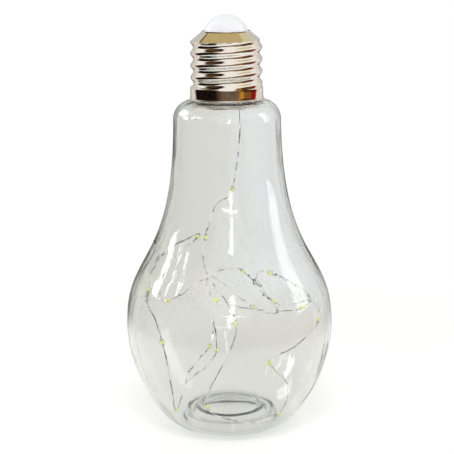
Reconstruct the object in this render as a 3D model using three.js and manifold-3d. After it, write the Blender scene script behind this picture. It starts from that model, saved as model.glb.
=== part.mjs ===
// A bulb-shaped table lamp. A clear glass bulb stands on a ring under its base. A plated cap with a
// rounded screw thread closes the neck, and a white dome on the cap is the switch's button. A string of
// small lights on thin wire hangs from the cap's battery holder and lies in loops inside the glass.
// Millimetres, +Z up. The origin is the middle of the standing ring, on the surface the lamp stands on.

import * as THREE from 'three';
import { mergeVertices } from 'three/addons/utils/BufferGeometryUtils.js';
import Module from 'manifold-3d';

const wasm = await Module();
wasm.setup();

// Clearances
const SEAT = 0.3; // between pieces that rest on each other
const RUNNING = 0.4; // between pieces that turn past each other
const CAP_LIFT = 0.4; // cap's rim over the glass shoulder

// Glass bulb
const BULB_RADIUS = 55;
const WIDEST_HEIGHT = 54.9; // height of the widest ring
const HEEL_REACH = 11; // pull of the base curve, outwards from the standing ring
const LOWER_REACH = 25; // pull of the side curve, down from the widest ring
const UPPER_REACH = 40; // pull of the side curve, up from the widest ring
const NECK_REACH = 78; // pull of the hollow sweep, down from the neck
const NECK_LEAN = 0.8; // how far the neck leans out over that pull
const NECK_RADIUS = 28.1;
const SHOULDER_ARC = 10;
const SHOULDER_HEIGHT = 174.7;
const STANDING_RADIUS = 26.2;
const STANDING_WIDTH = 2.5;
const PUSH_UP = 5.8; // hollow under the base
const PUSH_UP_TAPER = 1.9; // how far the hollow's side leans in on its way up
const FLOOR_WALL = 1.8;
const BEAD_INSET = 7; // middle of the floor's raised ring, in from the floor's edge
const BEAD_HEIGHT = 1.2;
const BEAD_FOOT = 3.2;
const BEAD_CREST = 1.6;
const GLASS_WALL = 2;
const FINISH_WALL = 2.6; // wall of the threaded neck ring
const FINISH_HEIGHT = 12;
const FINISH_FILLET = 1.2;
const LIP_ROUND = 0.8;

// Thread between glass and cap
const NECK_PITCH = 4.2;
const NECK_RIDGE = 1.1; // height of the ridge
const NECK_RIDGE_FOOT = 1.7;
const NECK_RIDGE_CREST = 0.8;
const NECK_TURNS = 1.25;
const NECK_THREAD_RISE = 3.6; // middle of the first ridge over the shoulder
const RIDGE_LEAD = 4; // steps in which a ridge grows to its height

// Cap shell
const KNUCKLE_PITCH = 6.2;
const KNUCKLE_DEPTH = 1.5;
const KNUCKLE_START = 2; // crest's height over the rim on the +X side
const KNUCKLE_LENGTH = 23.8;
const BAND_HEIGHT = 6;
const BAND_PROUD = 0.25; // band beyond the thread's crest
const BAND_FADE = 1.2; // height in which the thread runs out into the band
const RIM_PROUD = 0.35;
const RIM_HEIGHT = 1;
const RIM_CHAMFER = 0.3;
const CONE_HEIGHT = 5.4;
const CONE_DROP = 1.5; // wall of the cone, measured upright
const CONE_LIP = 0.5;
const SHELL_WALL = 1.3;
const SHELL_LEDGE = 0.9;

// Liner and seal in the cap
const LINER_WALL = 1.7;
const LINER_RISE = 0.8; // liner's edge over the cap's rim
const LINER_WEB = 1.5;
const SEAL_THICKNESS = 1.6;

// Battery holder
const CELL_RADIUS = 5.8;
const CELL_HEIGHT = 5.4;
const CELL_COUNT = 3;
const CELL_EDGE = 0.5;
const CELL_WALL = 1.2; // holder's wall behind the cells
const CHANNEL = 5.2; // holder's side for the wire and the cover screw
const FLANGE_THICKNESS = 1.5;
const COLUMN_RISE = 8; // column over its flange
const ROOF = 1.2;
const PLATE_THICKNESS = 0.4;
const PLATE_RADIUS = 4.6;
const SPRING_HEIGHT = 1.9;
const SPRING_FOOT = 4.4;
const SPRING_TOP = 2.4;
const SPRING_WIRE = 0.25;
const SPRING_TURNS = 2.5;
const COVER_THICKNESS = 1.6;
const OUTLET_ANGLE = 22; // degrees to either side of +X for the wire and the cover screw
const OUTLET_EDGE = 0.5;

// Screws
const SCREW_HEAD_RADIUS = 1.5;
const SCREW_HEAD_HEIGHT = 0.9;
const SCREW_HEAD_CHAMFER = 0.4;
const SCREW_SHANK_RADIUS = 0.7;
const SCREW_LENGTH = 4.5;
const SCREW_EDGE = 1.7; // board screws' distance in from the column's edge

// Board, switch and button
const BOARD_THICKNESS = 1.2;
const BOARD_GAP = 2.5;
const RESISTOR = new THREE.Vector3(3.2, 1.6, 0.6);
const RESISTOR_PLACE = new THREE.Vector2(-7.5, 3);
const SWITCH_WIDTH = 7;
const SWITCH_HEIGHT = 5;
const PLUNGER_WIDTH = 3;
const PLUNGER_RISE = 3.1;
const BUTTON_RADIUS = 11.2;
const BUTTON_GAP = 0.35;
const BUTTON_TRAVEL = 1.8;
const BUTTON_WALL = 1.5;
const BUTTON_FLANGE = 1.4;
const BUTTON_FLANGE_HEIGHT = 1.2;
const BUTTON_BOSS = 2.2;
const DOME_HEIGHT = 8.2;

// String of lights
const WIRE_RADIUS = 0.3;
const WIRE_SIDES = 8;
const GROMMET_WALL = 0.6;
const GROMMET_FLANGE = 0.5;
const GROMMET_FLANGE_HEIGHT = 0.9;
const GROMMET_LENGTH = 2.4;
const OUTLET_RUN = 1; // straight wire below the grommet
const LED_COUNT = 20;
const LED_FIRST = 75; // wire from the board to the first light
const LED_PITCH = 52.8;
const LED_RADIUS = 1.25;
const LED_HALF_LENGTH = 1.9;
const LED_RUN = 2.2; // straight wire to either side of a light's middle
const LEAD_STEPS = 4;
const SPAN_STEPS = 3;

// Points of the wire below its outlet, in order to its free end
const WIRE_ROUTE = [
  [6.5, -9, 159.7],
  [2, -25.5, 131.7],
  [-6.5, 3, 117.7],
  [-12, -5, 102.2],
  [-12.5, -18, 89.2],
  [3.5, -31.5, 62.2],
  [-12, -21.5, 13.7],
  [13, -26, 7.2],
  [29.4, -0.5, 5.2],
  [32, 2.5, 16.2],
  [21, -22, 39.7],
  [33.5, -33.5, 51.2],
  [47.5, -7, 58.7],
  [43, 16, 65.7],
  [20, 12.5, 79.2],
  [16.5, 42.5, 61.7],
  [28, 35.5, 54.2],
  [44.5, 1.5, 66.2],
  [36, -6.5, 62.7],
  [-9, 17, 63.2],
  [-11, 30.5, 72.2],
  [18, 33.5, 50.7],
  [27, 20.5, 54.2],
  [4, 16, 80.2],
  [-34.5, -17, 71.2],
  [-31.5, -22, 90.2],
  [-15, 0, 103.2],
  [-38.5, 9, 87.7],
  [-44, 3, 68.7],
  [-37, -33, 64.7],
  [-33, -35.5, 50.2],
  [-30, -34, 31.2],
  [-28.5, -10, 9.7],
  [-23, 1.5, 24.7],
  [-9, -13, 48.7],
  [-9.5, 1.5, 58.7],
  [-8.5, 17, 29.7],
  [-26.5, 5.5, 16.7],
];

// Facets
const GLASS_SIDES = 36;
const CAP_SIDES = 32;
const SMALL_SIDES = 20;
const TINY_SIDES = 8;
const SPRING_SIDES = 5;
const HEEL_STEPS = 6;
const SWEEP_STEPS = 9;
const SHOULDER_STEPS = 4;
const ARC_STEPS = 3;
const KNUCKLE_STEPS = 8; // rows in one pitch
const WIRE_SAMPLES = 60; // lengths measured between two points of the wire
const WELD = 1e-4;

// Radii of the hollow under the glass
const hollowEdge = STANDING_RADIUS - STANDING_WIDTH;
const hollowRadius = hollowEdge - PUSH_UP_TAPER;

// Radii, from the cells outwards
const cellBore = CELL_RADIUS + SEAT;
const columnRadius = cellBore + (CELL_WALL + CHANNEL) / 2;
const neckBore = columnRadius + RUNNING;
const finishRadius = neckBore + FINISH_WALL;
const ridgeRadius = finishRadius + NECK_RIDGE;
const linerInner = ridgeRadius + RUNNING;
const linerRadius = linerInner + LINER_WALL;
const shellBore = linerRadius + SEAT;
const upperBore = shellBore - SHELL_LEDGE;
const rootRadius = shellBore + SHELL_WALL;
const crestRadius = rootRadius + KNUCKLE_DEPTH;
const bandRadius = crestRadius + BAND_PROUD;
const boardRadius = upperBore - BOARD_GAP;
const openingRadius = BUTTON_RADIUS + BUTTON_GAP;
const coneTopRadius = openingRadius + CONE_LIP;

// Heights, from the shoulder upwards
const capBottom = SHOULDER_HEIGHT + CAP_LIFT;
const bandTop = capBottom + BAND_HEIGHT;
const coneBottom = bandTop + KNUCKLE_LENGTH;
const coneTop = coneBottom + CONE_HEIGHT;
const lip = SHOULDER_HEIGHT + FINISH_HEIGHT;
const sealBottom = lip + SEAT;
const webBottom = sealBottom + SEAL_THICKNESS + SEAT;
const webTop = webBottom + LINER_WEB;
const flangeBottom = webTop + SEAT;
const flangeTop = flangeBottom + FLANGE_THICKNESS;
const columnTop = flangeTop + COLUMN_RISE;
const boardBottom = columnTop + SEAT;
const boardTop = boardBottom + BOARD_THICKNESS;
const switchTop = boardTop + SEAT + SWITCH_HEIGHT;
const plungerTop = switchTop + PLUNGER_RISE;
const domeTop = coneTop + DOME_HEIGHT;

// Heights, from the column's roof down through the cells
const plateBottom = columnTop - ROOF - SEAT - PLATE_THICKNESS;
const cellStep = CELL_HEIGHT + SEAT;
const stackBottom = plateBottom - CELL_COUNT * cellStep;
const springBottom = stackBottom - SEAT - SPRING_HEIGHT;
const columnBottom = springBottom;
const coverTop = columnBottom - SEAT;
const grommetBottom = columnBottom - SEAT - GROMMET_FLANGE_HEIGHT;

// Places in the column
const cellX = -(columnRadius - CELL_WALL - cellBore);
const grommetBore = WIRE_RADIUS + SEAT;
const grommetRadius = grommetBore + GROMMET_WALL;
const wireHole = grommetRadius + SEAT;
const grommetFlange = wireHole + GROMMET_FLANGE;
const outletReach = columnRadius - OUTLET_EDGE - Math.max(grommetFlange, SCREW_HEAD_RADIUS + SEAT);
const wirePlace = onCircle(outletReach, -OUTLET_ANGLE);
const coverScrewPlace = onCircle(outletReach, OUTLET_ANGLE);
const boardScrewPlaces = [
  new THREE.Vector2(0, columnRadius - SCREW_EDGE),
  new THREE.Vector2(0, SCREW_EDGE - columnRadius),
];

const materials = {
  glass: new THREE.MeshStandardMaterial({
    color: '#dfe5e3', roughness: 0.05, metalness: 0, transparent: true, opacity: 0.35,
  }),
  plated: new THREE.MeshStandardMaterial({ color: '#c9c0ab', roughness: 0.16, metalness: 1 }),
  white: new THREE.MeshStandardMaterial({ color: '#f1f1f6', roughness: 0.3, metalness: 0 }),
  moulded: new THREE.MeshStandardMaterial({ color: '#2b2b2c', roughness: 0.55, metalness: 0 }),
  rubber: new THREE.MeshStandardMaterial({ color: '#d9d9d6', roughness: 0.8, metalness: 0 }),
  steel: new THREE.MeshStandardMaterial({ color: '#b9bcbf', roughness: 0.3, metalness: 1 }),
  board: new THREE.MeshStandardMaterial({ color: '#2f6b3c', roughness: 0.5, metalness: 0 }),
  ceramic: new THREE.MeshStandardMaterial({ color: '#1f1f22', roughness: 0.5, metalness: 0 }),
  wire: new THREE.MeshStandardMaterial({ color: '#c4c0b8', roughness: 0.3, metalness: 1 }),
  resin: new THREE.MeshStandardMaterial({ color: '#e6d58c', roughness: 0.25, metalness: 0 }),
};

const lamp = new THREE.Group();

function addPiece(name, geometry, material) {
  const mesh = new THREE.Mesh(geometry, material);
  mesh.name = name;
  lamp.add(mesh);
  return mesh;
}

// Shape helpers

function onCircle(radius, degrees) {
  const angle = THREE.MathUtils.degToRad(degrees);
  return new THREE.Vector2(radius * Math.cos(angle), radius * Math.sin(angle));
}

// Turns an outline of radius and height about the Z axis.
function revolve(outline, sides) {
  return new THREE.LatheGeometry(outline, sides).rotateX(Math.PI / 2);
}

function profile(...pairs) {
  return pairs.map(([radius, height]) => new THREE.Vector2(radius, height));
}

function disc(radius, bottom, top, sides) {
  return revolve(profile([0, bottom], [radius, bottom], [radius, top], [0, top]), sides);
}

function rod(radius, bottom, top, place) {
  return disc(radius, bottom, top, TINY_SIDES).translate(place.x, place.y, 0);
}

// A closed solid that can be joined and cut.
function toSolid(geometry) {
  const bare = geometry.clone();
  bare.deleteAttribute('normal');
  bare.deleteAttribute('uv');
  const welded = mergeVertices(bare, WELD);
  const corners = [];
  for (let i = 0; i < welded.index.count; i += 3) {
    const a = welded.index.getX(i);
    const b = welded.index.getX(i + 1);
    const c = welded.index.getX(i + 2);
    if (a !== b && b !== c && c !== a) {
      corners.push(a, b, c);
    }
  }
  return new wasm.Manifold(new wasm.Mesh({
    numProp: 3,
    vertProperties: welded.attributes.position.array,
    triVerts: Uint32Array.from(corners),
  }));
}

function toGeometry(solid) {
  const mesh = solid.getMesh();
  const geometry = new THREE.BufferGeometry();
  geometry.setAttribute('position', new THREE.BufferAttribute(mesh.vertProperties, 3));
  geometry.setIndex(new THREE.BufferAttribute(mesh.triVerts, 1));
  geometry.computeVertexNormals();
  return geometry;
}

// A thread's ridge, grown out of a wall of radius foot to radius crest, outwards or inwards.
function threadRidge(foot, crest, startHeight, startAngle) {
  const steps = Math.round(NECK_TURNS * GLASS_SIDES);
  const outward = crest > foot;
  const rings = spread(0, NECK_TURNS, steps).map((turn, i) => {
    const angle = startAngle + turn * 2 * Math.PI;
    const middle = startHeight + turn * NECK_PITCH;
    const grown = Math.min(1, (i + 1) / RIDGE_LEAD, (steps - i + 1) / RIDGE_LEAD);
    const top = foot + (crest - foot) * grown;
    const corners = [
      [foot, middle - NECK_RIDGE_FOOT / 2],
      [top, middle - NECK_RIDGE_CREST / 2],
      [top, middle + NECK_RIDGE_CREST / 2],
      [foot, middle + NECK_RIDGE_FOOT / 2],
    ];
    return corners.map(([radius, height]) => (
      new THREE.Vector3(radius * Math.cos(angle), radius * Math.sin(angle), height)
    ));
  });
  const corners = [];
  const addFace = (...face) => corners.push(...(outward ? face : face.reverse()));
  const addQuad = (a, b, c, d) => {
    addFace(a, b, c);
    addFace(a, c, d);
  };
  for (let i = 0; i < steps; i += 1) {
    const ring = rings[i];
    const next = rings[i + 1];
    ring.forEach((corner, j) => {
      const after = (j + 1) % ring.length;
      addQuad(corner, next[j], next[after], ring[after]);
    });
  }
  addQuad(...rings[0]);
  addQuad(...rings[steps].slice().reverse());
  return new THREE.BufferGeometry().setFromPoints(corners);
}

// Glass bulb

// The outside from the standing ring to the shoulder: heel and side, hollow sweep, round shoulder.
function glassOutside() {
  const shoulder = Math.min(SHOULDER_ARC, NECK_RADIUS - finishRadius - FINISH_FILLET);
  const neckTop = SHOULDER_HEIGHT - shoulder;
  const path = new THREE.Path();
  path.moveTo(STANDING_RADIUS, 0);
  path.bezierCurveTo(
    STANDING_RADIUS + HEEL_REACH, 0,
    BULB_RADIUS, WIDEST_HEIGHT - LOWER_REACH,
    BULB_RADIUS, WIDEST_HEIGHT,
  );
  path.bezierCurveTo(
    BULB_RADIUS, WIDEST_HEIGHT + UPPER_REACH,
    NECK_RADIUS + NECK_LEAN, neckTop - NECK_REACH,
    NECK_RADIUS, neckTop,
  );
  path.absarc(NECK_RADIUS - shoulder, neckTop, shoulder, 0, Math.PI / 2, false);
  const [heel, sweep, round] = path.curves;
  return [
    ...heel.getPoints(HEEL_STEPS),
    ...sweep.getPoints(SWEEP_STEPS).slice(1),
    ...round.getPoints(SHOULDER_STEPS).slice(1),
  ];
}

// Moves each point of an outline to its left by the wall.
function inset(outline, wall) {
  return outline.map((point, i) => {
    const before = outline[Math.max(i - 1, 0)];
    const after = outline[Math.min(i + 1, outline.length - 1)];
    const along = after.clone().sub(before).normalize();
    return new THREE.Vector2(point.x - along.y * wall, point.y + along.x * wall);
  });
}

// The flat floor over the pushed-up base, with its raised ring, from its edge to the middle.
function glassFloor() {
  const height = PUSH_UP + FLOOR_WALL;
  const edge = hollowRadius + FLOOR_WALL;
  const bead = edge - BEAD_INSET;
  return profile(
    [edge, height],
    [bead + BEAD_FOOT / 2, height],
    [bead + BEAD_CREST / 2, height + BEAD_HEIGHT],
    [bead - BEAD_CREST / 2, height + BEAD_HEIGHT],
    [bead - BEAD_FOOT / 2, height],
    [0, height],
  );
}

function glassBulb() {
  const outside = glassOutside();
  const inside = inset(outside, GLASS_WALL);
  const hollow = profile([0, PUSH_UP], [hollowRadius, PUSH_UP], [hollowEdge, 0]);
  const ring = new THREE.Path();
  ring.moveTo(finishRadius + FINISH_FILLET, SHOULDER_HEIGHT);
  ring.absarc(
    finishRadius + FINISH_FILLET, SHOULDER_HEIGHT + FINISH_FILLET,
    FINISH_FILLET, -Math.PI / 2, -Math.PI, true,
  );
  ring.absarc(finishRadius - LIP_ROUND, lip - LIP_ROUND, LIP_ROUND, 0, Math.PI / 2, false);
  ring.absarc(neckBore + LIP_ROUND, lip - LIP_ROUND, LIP_ROUND, Math.PI / 2, Math.PI, false);
  ring.lineTo(neckBore, SHOULDER_HEIGHT - GLASS_WALL);
  const outline = [
    ...hollow,
    ...outside,
    ...ring.getPoints(1),
    ...inside.reverse(),
    ...glassFloor(),
  ];
  const body = toSolid(revolve(outline, GLASS_SIDES));
  const sunk = finishRadius - NECK_RIDGE / 2;
  const ridge = threadRidge(sunk, ridgeRadius, SHOULDER_HEIGHT + NECK_THREAD_RISE, 0);
  addPiece('glass_bulb', toGeometry(body.add(toSolid(ridge))), materials.glass);
}

// Cap shell

function coneRadius(height) {
  const down = (coneTop - height) / CONE_HEIGHT;
  return coneTopRadius + (crestRadius - coneTopRadius) * down;
}

// Radius of the rounded thread: one crest that climbs a pitch in each turn, cut off by the cone above
// and faded into the band below.
function knuckleRadius(height, angle) {
  const phase = ((height - capBottom - KNUCKLE_START) / KNUCKLE_PITCH) * 2 * Math.PI - angle;
  const wave = rootRadius + (KNUCKLE_DEPTH / 2) * (1 + Math.cos(phase));
  const fade = THREE.MathUtils.smoothstep(height, bandTop, bandTop + BAND_FADE);
  return Math.min(THREE.MathUtils.lerp(bandRadius, wave, fade), coneRadius(height));
}

function capShell() {
  const rimRadius = bandRadius + RIM_PROUD;
  const slope = CONE_HEIGHT / (crestRadius - coneTopRadius);
  const innerCone = (radius) => coneTop - CONE_DROP - (radius - coneTopRadius) * slope;
  const threadTop = coneBottom + KNUCKLE_DEPTH * slope;
  const rows = Math.round(((threadTop - bandTop) / KNUCKLE_PITCH) * KNUCKLE_STEPS);
  const outline = profile(
    [shellBore, capBottom],
    [bandRadius, capBottom],
    [rimRadius, capBottom + RIM_CHAMFER],
    [rimRadius, capBottom + RIM_HEIGHT - RIM_CHAMFER],
    [bandRadius, capBottom + RIM_HEIGHT],
    [bandRadius, bandTop],
  );
  for (let i = 1; i <= rows; i += 1) {
    const height = THREE.MathUtils.lerp(bandTop, threadTop, i / rows);
    outline.push(new THREE.Vector2(crestRadius, height));
  }
  outline.push(...profile(
    [coneTopRadius, coneTop],
    [openingRadius, coneTop],
    [openingRadius, innerCone(openingRadius)],
    [upperBore, innerCone(upperBore)],
    [upperBore, flangeTop + SEAT],
    [shellBore, flangeTop + SEAT],
    [shellBore, capBottom],
  ));
  const geometry = revolve(outline, CAP_SIDES);
  const position = geometry.attributes.position;
  for (let i = 0; i < position.count; i += 1) {
    const x = position.getX(i);
    const y = position.getY(i);
    const height = position.getZ(i);
    const radius = Math.hypot(x, y);
    if (height > bandTop + WELD && radius > rootRadius) {
      const scale = knuckleRadius(height, Math.atan2(y, x)) / radius;
      position.setXY(i, x * scale, y * scale);
    }
  }
  addPiece('cap_shell', geometry, materials.plated);
}

// Liner and seal

function capLiner() {
  const bottom = capBottom + LINER_RISE;
  const webHole = columnRadius + SEAT;
  const body = revolve(profile(
    [linerInner, bottom],
    [linerRadius, bottom],
    [linerRadius, webTop],
    [webHole, webTop],
    [webHole, webBottom],
    [linerInner, webBottom],
    [linerInner, bottom],
  ), CAP_SIDES);
  const sunk = linerInner + NECK_RIDGE / 2;
  const crest = finishRadius + RUNNING;
  const start = SHOULDER_HEIGHT + NECK_THREAD_RISE - NECK_PITCH / 4;
  const ridge = threadRidge(sunk, crest, start, Math.PI / 2);
  addPiece('cap_liner', toGeometry(toSolid(body).add(toSolid(ridge))), materials.moulded);
}

function sealRing() {
  const outline = profile(
    [neckBore + SEAT, sealBottom],
    [finishRadius, sealBottom],
    [finishRadius, sealBottom + SEAL_THICKNESS],
    [neckBore + SEAT, sealBottom + SEAL_THICKNESS],
    [neckBore + SEAT, sealBottom],
  );
  addPiece('seal_ring', revolve(outline, CAP_SIDES), materials.rubber);
}

// Battery holder and what it holds

function batteryHolder() {
  const body = revolve(profile(
    [0, columnBottom],
    [columnRadius, columnBottom],
    [columnRadius, flangeBottom],
    [linerRadius, flangeBottom],
    [linerRadius, flangeTop],
    [columnRadius, flangeTop],
    [columnRadius, columnTop],
    [0, columnTop],
  ), CAP_SIDES);
  const past = SCREW_LENGTH + SEAT;
  const pilot = SCREW_SHANK_RADIUS + SEAT;
  const bore = disc(cellBore, columnBottom - past, columnTop - ROOF, SMALL_SIDES).translate(cellX, 0, 0);
  let solid = toSolid(body).subtract(toSolid(bore));
  solid = solid.subtract(toSolid(rod(wireHole, columnBottom - past, columnTop + past, wirePlace)));
  solid = solid.subtract(toSolid(rod(pilot, columnBottom - past, columnBottom + past, coverScrewPlace)));
  for (const place of boardScrewPlaces) {
    solid = solid.subtract(toSolid(rod(pilot, columnTop - past, columnTop + past, place)));
  }
  addPiece('battery_holder', toGeometry(solid), materials.moulded);
}

// Button cells, each with a rounded can edge below and a stepped top.
function batteryCells() {
  for (let i = 0; i < CELL_COUNT; i += 1) {
    const bottom = stackBottom + i * cellStep;
    const top = bottom + CELL_HEIGHT;
    const outline = profile(
      [0, bottom],
      [CELL_RADIUS - CELL_EDGE * 2, bottom],
      [CELL_RADIUS - CELL_EDGE, bottom + CELL_EDGE],
      [CELL_RADIUS, bottom + CELL_EDGE * 2],
      [CELL_RADIUS, top - CELL_EDGE],
      [CELL_RADIUS - CELL_EDGE, top],
      [0, top],
    );
    addPiece(`battery_cell_${i + 1}`, revolve(outline, SMALL_SIDES).translate(cellX, 0, 0), materials.steel);
  }
}

function contactPlate() {
  const plate = disc(PLATE_RADIUS, plateBottom, plateBottom + PLATE_THICKNESS, SMALL_SIDES);
  addPiece('contact_plate', plate.translate(cellX, 0, 0), materials.steel);
}

class ConeHelix extends THREE.Curve {
  getPoint(t, target = new THREE.Vector3()) {
    const angle = t * SPRING_TURNS * 2 * Math.PI;
    const radius = THREE.MathUtils.lerp(SPRING_FOOT, SPRING_TOP, t);
    const height = THREE.MathUtils.lerp(SPRING_WIRE, SPRING_HEIGHT - SPRING_WIRE, t);
    return target.set(radius * Math.cos(angle), radius * Math.sin(angle), height);
  }
}

function roundSection(radius, sides) {
  const corners = Array.from({ length: sides }, (_, i) => onCircle(radius, (i * 360) / sides));
  return new THREE.Shape(corners);
}

function contactSpring() {
  const spring = new THREE.ExtrudeGeometry(roundSection(SPRING_WIRE, SPRING_SIDES), {
    steps: Math.round(SPRING_TURNS * TINY_SIDES),
    extrudePath: new ConeHelix(),
  });
  addPiece('contact_spring', spring.translate(cellX, 0, springBottom), materials.steel);
}

// Plate under the cells, scalloped round the grommet and recessed for its screw.
function batteryCover() {
  const bottom = coverTop - COVER_THICKNESS;
  const past = SCREW_LENGTH;
  const recess = bottom + SCREW_HEAD_HEIGHT;
  let solid = toSolid(disc(columnRadius, bottom, coverTop, CAP_SIDES));
  const cuts = [
    rod(grommetFlange + SEAT, bottom - past, coverTop + past, wirePlace),
    rod(SCREW_SHANK_RADIUS + SEAT, bottom - past, coverTop + past, coverScrewPlace),
    rod(SCREW_HEAD_RADIUS + SEAT, bottom - past, recess, coverScrewPlace),
  ];
  for (const cut of cuts) {
    solid = solid.subtract(toSolid(cut));
  }
  addPiece('battery_cover', toGeometry(solid), materials.moulded);
}

// A pan-head screw with its seat at the origin, head up.
function screw() {
  return revolve(profile(
    [0, -SCREW_LENGTH],
    [SCREW_SHANK_RADIUS, SCREW_SHANK_RADIUS - SCREW_LENGTH],
    [SCREW_SHANK_RADIUS, 0],
    [SCREW_HEAD_RADIUS, 0],
    [SCREW_HEAD_RADIUS, SCREW_HEAD_HEIGHT - SCREW_HEAD_CHAMFER],
    [SCREW_HEAD_RADIUS - SCREW_HEAD_CHAMFER, SCREW_HEAD_HEIGHT],
    [0, SCREW_HEAD_HEIGHT],
  ), TINY_SIDES);
}

function screws() {
  const recess = coverTop - COVER_THICKNESS + SCREW_HEAD_HEIGHT - SEAT;
  const cover = addPiece('cover_screw', screw(), materials.steel);
  cover.rotation.x = Math.PI;
  cover.position.set(coverScrewPlace.x, coverScrewPlace.y, recess);
  boardScrewPlaces.forEach((place, i) => {
    const piece = addPiece(`board_screw_${i + 1}`, screw(), materials.steel);
    piece.position.set(place.x, place.y, boardTop + SEAT);
  });
}

function wireGrommet() {
  const flangeEdge = grommetBottom + GROMMET_FLANGE_HEIGHT;
  const sleeve = revolve(profile(
    [grommetBore, grommetBottom],
    [grommetFlange, grommetBottom],
    [grommetFlange, flangeEdge],
    [grommetRadius, flangeEdge],
    [grommetRadius, flangeEdge + GROMMET_LENGTH],
    [grommetBore, flangeEdge + GROMMET_LENGTH],
    [grommetBore, grommetBottom],
  ), TINY_SIDES);
  addPiece('wire_grommet', sleeve.translate(wirePlace.x, wirePlace.y, 0), materials.rubber);
}

// Board, switch and button

function circuitBoard() {
  const outline = new THREE.Shape().absarc(0, 0, boardRadius, 0, 2 * Math.PI, false);
  for (const place of boardScrewPlaces) {
    const hole = new THREE.Path();
    hole.absarc(place.x, place.y, SCREW_SHANK_RADIUS + SEAT, 0, 2 * Math.PI, true);
    outline.holes.push(hole);
  }
  const board = new THREE.ExtrudeGeometry(outline, {
    depth: BOARD_THICKNESS, bevelEnabled: false, curveSegments: SMALL_SIDES / 2,
  });
  addPiece('circuit_board', board.translate(0, 0, boardBottom), materials.board);
  const resistor = new THREE.BoxGeometry(RESISTOR.x, RESISTOR.y, RESISTOR.z);
  const place = new THREE.Vector3(RESISTOR_PLACE.x, RESISTOR_PLACE.y, boardTop + SEAT + RESISTOR.z / 2);
  addPiece('series_resistor', resistor, materials.ceramic).position.copy(place);
}

function square(width) {
  const half = width / 2;
  return [
    new THREE.Vector2(-half, -half),
    new THREE.Vector2(half, -half),
    new THREE.Vector2(half, half),
    new THREE.Vector2(-half, half),
  ];
}

function pushSwitch() {
  const outline = new THREE.Shape(square(SWITCH_WIDTH));
  outline.holes.push(new THREE.Path(square(PLUNGER_WIDTH + 2 * SEAT)));
  const body = new THREE.ExtrudeGeometry(outline, { depth: SWITCH_HEIGHT, bevelEnabled: false });
  addPiece('push_switch', body.translate(0, 0, boardTop + SEAT), materials.moulded);
  const plungerBottom = boardTop + SEAT + BUTTON_TRAVEL;
  const plunger = new THREE.BoxGeometry(PLUNGER_WIDTH, PLUNGER_WIDTH, plungerTop - plungerBottom);
  const middle = (plungerTop + plungerBottom) / 2;
  addPiece('switch_plunger', plunger, materials.white).position.set(0, 0, middle);
}

// White dome with a skirt in the cone's opening, a flange under the cone and a boss over the plunger.
function pushButton() {
  const domeRadius = (BUTTON_RADIUS ** 2 + DOME_HEIGHT ** 2) / (2 * DOME_HEIGHT);
  const centre = domeTop - domeRadius;
  const insideRadius = domeRadius - BUTTON_WALL;
  const skirtInner = BUTTON_RADIUS - BUTTON_WALL;
  const flangeRadius = BUTTON_RADIUS + BUTTON_FLANGE;
  const slope = CONE_HEIGHT / (crestRadius - coneTopRadius);
  const flangeUpper = coneTop - CONE_DROP - SEAT - (flangeRadius - coneTopRadius) * slope;
  const flangeLower = flangeUpper - BUTTON_FLANGE_HEIGHT;
  const bossBottom = plungerTop + SEAT;
  const path = new THREE.Path();
  path.moveTo(0, bossBottom);
  path.lineTo(BUTTON_BOSS, bossBottom);
  path.absarc(
    0, centre, insideRadius,
    Math.acos(BUTTON_BOSS / insideRadius), Math.acos(skirtInner / insideRadius), true,
  );
  path.lineTo(skirtInner, flangeLower);
  path.lineTo(flangeRadius, flangeLower);
  path.lineTo(flangeRadius, flangeUpper);
  path.lineTo(BUTTON_RADIUS, flangeUpper);
  path.absarc(0, centre, domeRadius, Math.acos(BUTTON_RADIUS / domeRadius), Math.PI / 2, false);
  addPiece('push_button', revolve(path.getPoints(ARC_STEPS), CAP_SIDES), materials.white);
}

// String of lights

// The wire's curve with its rings at given lengths, so that each light holds one straight run.
class SteppedCurve extends THREE.Curve {
  constructor(base, stops) {
    super();
    this.base = base;
    this.stops = stops;
  }

  share(t) {
    const place = t * (this.stops.length - 1);
    const i = Math.min(Math.floor(place), this.stops.length - 2);
    return THREE.MathUtils.lerp(this.stops[i], this.stops[i + 1], place - i) / this.base.getLength();
  }

  getPointAt(t, target) {
    return this.base.getPointAt(this.share(t), target);
  }

  getTangentAt(t, target) {
    return this.base.getTangentAt(this.share(t), target);
  }
}

function spread(from, to, steps) {
  return Array.from({ length: steps + 1 }, (_, i) => THREE.MathUtils.lerp(from, to, i / steps));
}

function wireCurve() {
  const start = new THREE.Vector3(wirePlace.x, wirePlace.y, boardBottom - SEAT);
  const outlet = new THREE.Vector3(wirePlace.x, wirePlace.y, grommetBottom - OUTLET_RUN);
  const route = WIRE_ROUTE.map(([x, y, z]) => new THREE.Vector3(x, y, z));
  const curve = new THREE.CatmullRomCurve3([start, outlet, ...route], false, 'centripetal');
  curve.arcLengthDivisions = (route.length + 1) * WIRE_SAMPLES;
  return curve;
}

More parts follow.
